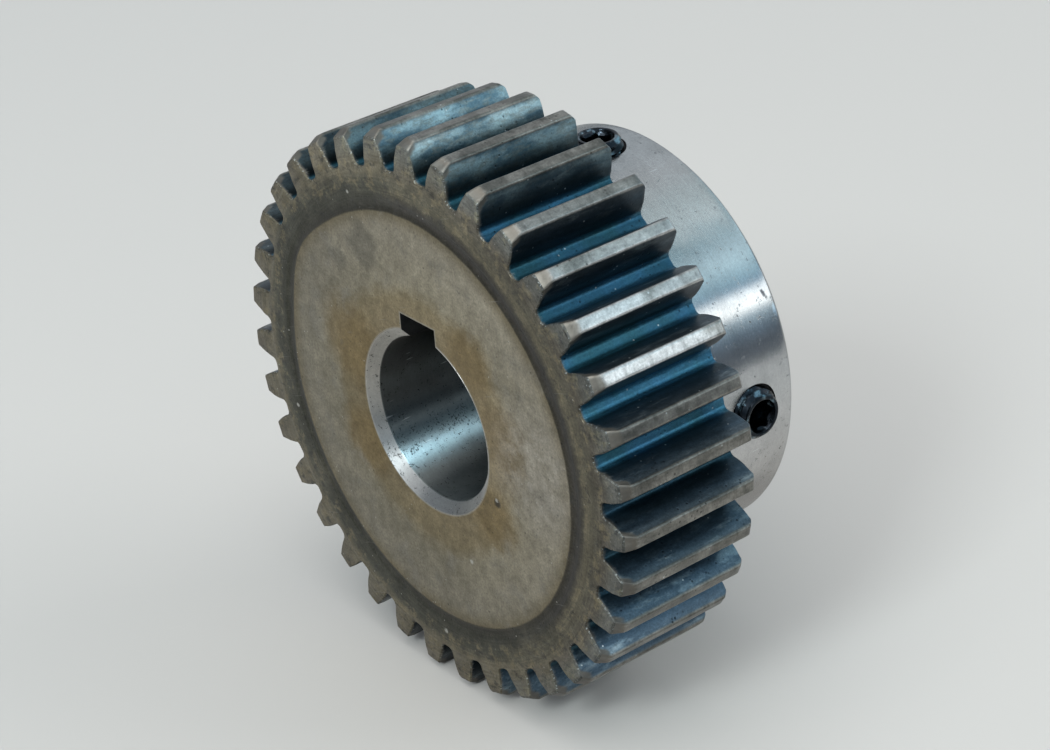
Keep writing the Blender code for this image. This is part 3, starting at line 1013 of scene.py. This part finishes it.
def make_camera():
    """The camera, looking at the front face from the right and above."""
    azimuth, elevation, roll = map(math.radians, CAMERA_ANGLES)
    across = math.cos(elevation)
    back = Vector((math.sin(azimuth) * across, -math.cos(azimuth) * across, math.sin(elevation)))
    level = (-back).cross(Vector((0, 0, 1))).normalized()
    upright = level.cross(-back)
    right = math.cos(roll) * level + math.sin(roll) * upright
    up = -math.sin(roll) * level + math.cos(roll) * upright
    place = CAMERA_PLACE[0] * right + CAMERA_PLACE[1] * up + CAMERA_PLACE[2] * back
    location = place * ROOT_RADIUS + Vector((0, FRONT_Y, 0))
    data = bpy.data.cameras.new("camera")
    data.lens = CAMERA_LENS
    data.sensor_width = 36
    data.clip_start = 0.01
    data.clip_end = 20
    camera = add_to_scene("camera", data)
    rotation = Matrix((right, up, back)).transposed().to_4x4()
    camera.matrix_world = Matrix.Translation(location * MM) @ rotation
    bpy.context.scene.camera = camera


def plain_material(name, color, roughness):
    """A plain matt material for what stands round the gear."""
    material = bpy.data.materials.new(name)
    material.use_nodes = True
    shader = material.node_tree.nodes["Principled BSDF"]
    shader.inputs["Base Color"].default_value = color
    shader.inputs["Roughness"].default_value = roughness
    return material


def make_floor():
    """A plain pale floor that the gear stands on, 12 m across so that its edge is never near."""
    half = 6
    height = cad_box[0].z
    corners = [(x, y, height) for x, y in ((-half, -half), (half, -half), (half, half), (-half, half))]
    mesh = bpy.data.meshes.new("floor")
    mesh.from_pydata(corners, [], [(0, 1, 2, 3)])
    mesh.materials.append(plain_material("floor", (0.380, 0.362, 0.343, 1), 0.6))
    floor = add_to_scene("floor", mesh)


# How far each light is from the gear, in metres.
LIGHT_DISTANCE = 0.9


def area_light(name, direction, size, power, color, shines=True):
    """A soft square light from a direction; shines is whether it shows in reflections."""
    data = bpy.data.lights.new(name, "AREA")
    data.size = size
    data.energy = power
    data.color = color
    light = add_to_scene(name, data)
    back = Vector(direction).normalized()
    light.location = back * LIGHT_DISTANCE
    light.rotation_euler = back.to_track_quat("Z", "Y").to_euler()
    light.visible_glossy = shines


def make_lights():
    """A soft studio: a pale ceiling, a low bright window behind to the right, and three lights."""
    world = bpy.data.worlds.new("studio")
    world.use_nodes = True
    tree = world.node_tree

    def node(kind, **settings):
        made = tree.nodes.new(kind)
        for key, value in settings.items():
            setattr(made, key, value)
        return made

    def smooth(value, low, high, start=0.0, end=1.0):
        made = node("ShaderNodeMapRange", interpolation_type="SMOOTHSTEP")
        tree.links.new(value, made.inputs[0])
        for socket, item in zip(list(made.inputs)[1:5], (low, high, start, end)):
            socket.default_value = item
        return made.outputs[0]

    def toward(direction):
        made = node("ShaderNodeVectorMath", operation="DOT_PRODUCT")
        tree.links.new(sky, made.inputs[0])
        made.inputs[1].default_value = Vector(direction).normalized()
        return made.outputs["Value"]

    sky = node("ShaderNodeTexCoord").outputs["Generated"]
    height = toward((0, 0, 1))
    ceiling = node("ShaderNodeMix", data_type="RGBA")
    tree.links.new(smooth(height, 0.02, 0.26), ceiling.inputs[0])
    ceiling.inputs[6].default_value = (0.10, 0.11, 0.13, 1)
    ceiling.inputs[7].default_value = (0.62, 0.68, 0.74, 1)
    # Behind to the right: a dark sill, a low window, and paler and darker strips of wall above it.
    climb = node("ShaderNodeMapRange")
    tree.links.new(toward((-0.469, 0, 0.883)), climb.inputs[0])
    wall = node("ShaderNodeValToRGB")
    tree.links.new(climb.outputs[0], wall.inputs[0])
    lowest, highest = -0.45, 0.75
    for socket, item in zip(list(climb.inputs)[1:5], (lowest, highest, 0.0, 1.0)):
        socket.default_value = item
    stops = [
        (lowest, (0.20, 0.24, 0.29)),
        (-0.28, (0.22, 0.31, 0.40)),
        (-0.17, (0.66, 0.86, 0.98)),
        (-0.105, (2.65, 2.72, 2.70)),
        (-0.015, (2.20, 2.35, 2.45)),
        (0.045, (0.30, 0.52, 0.72)),
        (0.12, (0.55, 0.85, 1.02)),
        (0.24, (0.92, 1.26, 1.42)),
        (0.34, (0.70, 0.96, 1.10)),
        (0.47, (0.28, 0.48, 0.58)),
        (0.57, (0.40, 0.58, 0.66)),
        (0.62, (0.90, 1.08, 1.16)),
        (0.67, (0.46, 0.60, 0.66)),
    ]
    elements = wall.color_ramp.elements
    for index, (at, color) in enumerate(stops):
        element = elements[index] if index < 2 else elements.new(1.0)
        element.position = (at - lowest) / (highest - lowest)
        element.color = (*color, 1)
    lit = node("ShaderNodeMix", data_type="RGBA")
    tree.links.new(smooth(toward((0.80, 0.60, 0.0)), 0.10, 0.40), lit.inputs[0])
    tree.links.new(ceiling.outputs[2], lit.inputs[6])
    tree.links.new(wall.outputs[0], lit.inputs[7])
    # Looked at directly, past the floor's far edge, the sky is plain.
    plain = node("ShaderNodeMix", data_type="RGBA")
    tree.links.new(node("ShaderNodeLightPath").outputs["Is Camera Ray"], plain.inputs[0])
    tree.links.new(lit.outputs[2], plain.inputs[6])
    plain.inputs[7].default_value = (0.70, 0.72, 0.72, 1)
    tree.links.new(plain.outputs[2], tree.nodes["Background"].inputs["Color"])
    bpy.context.scene.world = world
    area_light("overhead", (0.15, -0.35, 1.0), size=0.9, power=6.5, color=(1.0, 0.985, 0.96))
    area_light("front", (0.26, -0.74, 0.62), size=0.24, power=5.6, color=(0.86, 0.97, 1.0))
    area_light("fill", (0.75, 0.95, 0.80), size=0.7, power=5.0, color=(1.0, 0.98, 0.96), shines=False)


def make_flag():
    """A dark card behind to the right, low down, that only reflections see.

    It makes the dark line in the hub's shine.
    """
    mesh = bpy.data.meshes.new("flag")
    floor = cad_box[0].z
    turn = [math.radians(angle) for angle in range(-15, 96, 5)]
    low = [(0.24 * math.cos(angle), 0.24 * math.sin(angle), floor + 0.002) for angle in turn]
    high = [(x, y, floor + 0.046) for x, y, _ in low]
    count = len(turn)
    faces = [(i, i + 1, count + i + 1, count + i) for i in range(count - 1)]
    mesh.from_pydata(low + high, [], faces)
    mesh.materials.append(plain_material("flag", (0.125, 0.145, 0.175, 1), 0.5))
    flag = add_to_scene("flag", mesh)
    for ray in ("camera", "diffuse", "shadow", "transmission"):
        setattr(flag, "visible_" + ray, False)


# ---------------------------------------------------------------- build
bpy.context.scene.view_settings.view_transform = "Standard"

steel = [
    front_face_material(),
    tooth_material(),
    turned_material("turned_hub", HUB_TINTS_WITH_PAINTED_SHADE, HUB_BEVELS, None, HUB_MARKS, grit=0.575, roughest=0.28),
    turned_material("bored_steel", BORE_TINTS_WITH_PAINTED_SHADE, BORE_BEVELS_WITH_PAINTED_LIGHT, BORE_PAINTED_REFLECTION, [], grit=0.50, roughest=0.46),
    cut_material(),
]
black = black_oxide_material()

gear_body = make_gear_body(steel)
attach(gear_body, "gear")
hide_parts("gear_body")

for name, node, body, turn in (
    ("keyway_screw_finished", "set_screw_over_keyway", "keyway_screw", 0),
    ("side_screw_finished", "set_screw_at_side", "side_screw", math.pi / 2),
):
    screw = make_screw(name, turn, black)
    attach(screw, body)
    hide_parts(node)

make_floor()
make_lights()
make_flag()
make_camera()
